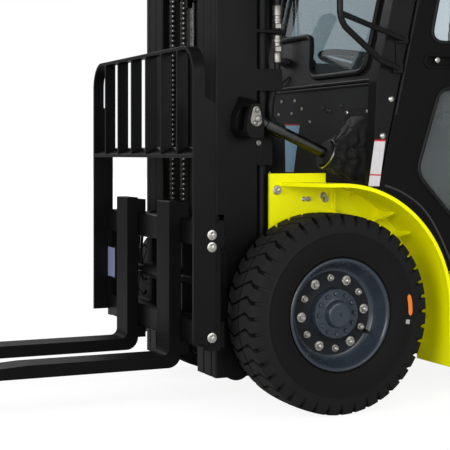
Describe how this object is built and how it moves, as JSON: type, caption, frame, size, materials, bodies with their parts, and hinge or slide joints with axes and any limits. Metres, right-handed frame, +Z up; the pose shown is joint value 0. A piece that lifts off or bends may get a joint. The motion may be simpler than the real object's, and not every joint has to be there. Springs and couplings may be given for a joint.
{
  "type": "counterbalance forklift",
  "caption": "Diesel counterbalance forklift with a closed cab, three-stage mast, side shifter, load backrest, forks, tilt and lift cylinders, steered rear axle and opening doors.",
  "frame": {"origin": "middle of the truck's length and width, on the ground", "axes": "+X to the fork tips, +Y to the driver's left, +Z up"},
  "size_m": [3.7864, 1.54, 2.1499],
  "materials": {
    "body_yellow": "gloss",
    "axle_black": "satin",
    "cast_grey": "painted satin",
    "engine_grey": "painted",
    "cover_grey": "textured",
    "cab_black": "satin",
    "glass": "clear",
    "boot_fabric": "woven",
    "control_plastic": "moulded",
    "lamp_plastic": "clear lens",
    "seat_vinyl": "vinyl",
    "tyre": "matt",
    "rim_slate": "satin",
    "chrome": "bright",
    "mast_black": "satin",
    "hose_rubber": "matt",
    "chain_steel": "oiled"
  },
  "bodies": {
    "truck": {"chassis_frame": "body_yellow", "side_tanks": "body_yellow", "front_fenders": "body_yellow", "drive_axle": "axle_black", "steer_axle": "axle_black", "counterweight": "cast_grey", "engine_block": "engine_grey", "body_covers": "body_yellow", "cab_frame": "cab_black", "cab_glass": "glass", "front_panel": "cab_black", "tilt_boots": "boot_fabric", "controls": "control_plastic", "mirrors": "cab_black", "lamps": "lamp_plastic"},
    "hood": {"engine_hood": "cover_grey", "seat_cushion": "seat_vinyl", "seat_back": "seat_vinyl"},
    "door_left": {"door_left_frame": "cab_black", "door_left_glass": "glass"},
    "door_right": {"door_right_frame": "cab_black", "door_right_glass": "glass"},
    "wheel_front_left": {"front_left_tyre": "tyre", "front_left_rim": "rim_slate"},
    "wheel_front_right": {"front_right_tyre": "tyre", "front_right_rim": "rim_slate"},
    "steer_left": {"knuckle_left": "axle_black"},
    "steer_right": {"knuckle_right": "axle_black"},
    "wheel_rear_left": {"rear_left_tyre": "tyre", "rear_left_rim": "rim_slate"},
    "wheel_rear_right": {"rear_right_tyre": "tyre", "rear_right_rim": "rim_slate"},
    "steer_link": {"steer_rod": "chrome"},
    "mast": {"mast_outer": "mast_black", "mast_hoses": "hose_rubber"},
    "tilt_cylinders": {"tilt_barrels": "axle_black"},
    "tilt_pistons": {"tilt_rods": "chrome"},
    "middle_stage": {"mast_middle": "mast_black", "lift_rods": "chrome"},
    "inner_stage": {"mast_inner": "mast_black"},
    "free_lift": {"free_lift_piston": "chrome", "lift_chains": "chain_steel"},
    "carriage_body": {"carriage": "mast_black"},
    "side_shifter": {"side_shift_frame": "mast_black", "backrest": "mast_black", "backrest_bars": "mast_black"},
    "fork_left_body": {"fork_left": "mast_black"},
    "fork_right_body": {"fork_right": "mast_black"}
  },
  "joints": [
    {"name": "front_left_wheel_spin", "type": "hinge", "parent": "truck", "child": "wheel_front_left", "pos_m": [0.2968, 0.501, 0.3555], "axis": [0, 1, 0], "continuous": true},
    {"name": "front_right_wheel_spin", "type": "hinge", "parent": "truck", "child": "wheel_front_right", "pos_m": [0.2968, -0.501, 0.3555], "axis": [0, 1, 0], "continuous": true},
    {"name": "rear_left_steer", "type": "hinge", "parent": "truck", "child": "steer_left", "pos_m": [-1.4032, 0.383, 0.293], "axis": [0, 0, 1], "range_deg": [-68, 68]},
    {"name": "rear_right_steer", "type": "hinge", "parent": "truck", "child": "steer_right", "pos_m": [-1.4032, -0.383, 0.293], "axis": [0, 0, 1], "range_deg": [-68, 68]},
    {"name": "rear_left_wheel_spin", "type": "hinge", "parent": "steer_left", "child": "wheel_rear_left", "pos_m": [-1.4032, 0.487, 0.293], "axis": [0, 1, 0], "continuous": true},
    {"name": "rear_right_wheel_spin", "type": "hinge", "parent": "steer_right", "child": "wheel_rear_right", "pos_m": [-1.4032, -0.487, 0.293], "axis": [0, 1, 0], "continuous": true},
    {"name": "steer_link_turn", "type": "hinge", "parent": "steer_left", "child": "steer_link", "pos_m": [-1.5232, 0.383, 0.42], "axis": [0, 0, 1], "range_deg": [-68, 68]},
    {"name": "mast_tilt", "type": "hinge", "parent": "truck", "child": "mast", "pos_m": [0.2968, 0, 0.3555], "axis": [0, 1, 0], "range_deg": [-10, 6], "deforming": ["tilt_boots"]},
    {"name": "tilt_cylinder_pivot", "type": "hinge", "parent": "truck", "child": "tilt_cylinders", "pos_m": [0.0258, 0, 0.821], "axis": [0, 1, 0], "range_deg": [-9.5, 5.8]},
    {"name": "tilt_piston_slide", "type": "slide", "parent": "tilt_cylinders", "child": "tilt_pistons", "axis": [0.9161, 0, 0.4009], "range_m": [-0.0945, 0.0575]},
    {"name": "middle_lift", "type": "slide", "parent": "mast", "child": "middle_stage", "axis": [0, 0, 1], "range_m": [0, 1.35]},
    {"name": "inner_lift", "type": "slide", "parent": "middle_stage", "child": "inner_stage", "axis": [0, 0, 1], "range_m": [0, 1.35]},
    {"name": "carriage_lift", "type": "slide", "parent": "inner_stage", "child": "carriage_body", "axis": [0, 0, 1], "range_m": [-0.145, 0.95]},
    {"name": "free_lift_slide", "type": "slide", "parent": "inner_stage", "child": "free_lift", "axis": [0, 0, 1], "range_m": [-0.0735, 0.4755]},
    {"name": "side_shift", "type": "slide", "parent": "carriage_body", "child": "side_shifter", "axis": [0, 1, 0], "range_m": [-0.1, 0.1]},
    {"name": "fork_left_slide", "type": "slide", "parent": "side_shifter", "child": "fork_left_body", "axis": [0, 1, 0], "range_m": [-0.13, 0.24]},
    {"name": "fork_right_slide", "type": "slide", "parent": "side_shifter", "child": "fork_right_body", "axis": [0, -1, 0], "range_m": [-0.13, 0.24]},
    {"name": "door_left_swing", "type": "hinge", "parent": "truck", "child": "door_left", "pos_m": [-0.7112, 0.6, 1.25], "axis": [0, 0, 1], "range_deg": [0, 95]},
    {"name": "door_right_swing", "type": "hinge", "parent": "truck", "child": "door_right", "pos_m": [-0.7112, -0.6, 1.25], "axis": [0, 0, -1], "range_deg": [0, 95]},
    {"name": "hood_lift", "type": "hinge", "parent": "truck", "child": "hood", "pos_m": [-0.9932, 0, 1.045], "axis": [0, -1, 0], "range_deg": [0, 16]}
  ],
  "couplings": [
    {"joint": "rear_right_steer", "follows": "rear_left_steer", "ratio": 1},
    {"joint": "steer_link_turn", "follows": "rear_left_steer", "ratio": -1},
    {"joint": "tilt_cylinder_pivot", "follows": "mast_tilt", "ratio": 0.92},
    {"joint": "tilt_piston_slide", "follows": "mast_tilt", "m_per_rad": 0.536},
    {"joint": "inner_lift", "follows": "middle_lift", "ratio": 1},
    {"joint": "free_lift_slide", "follows": "carriage_lift", "ratio": 0.5}
  ]
}
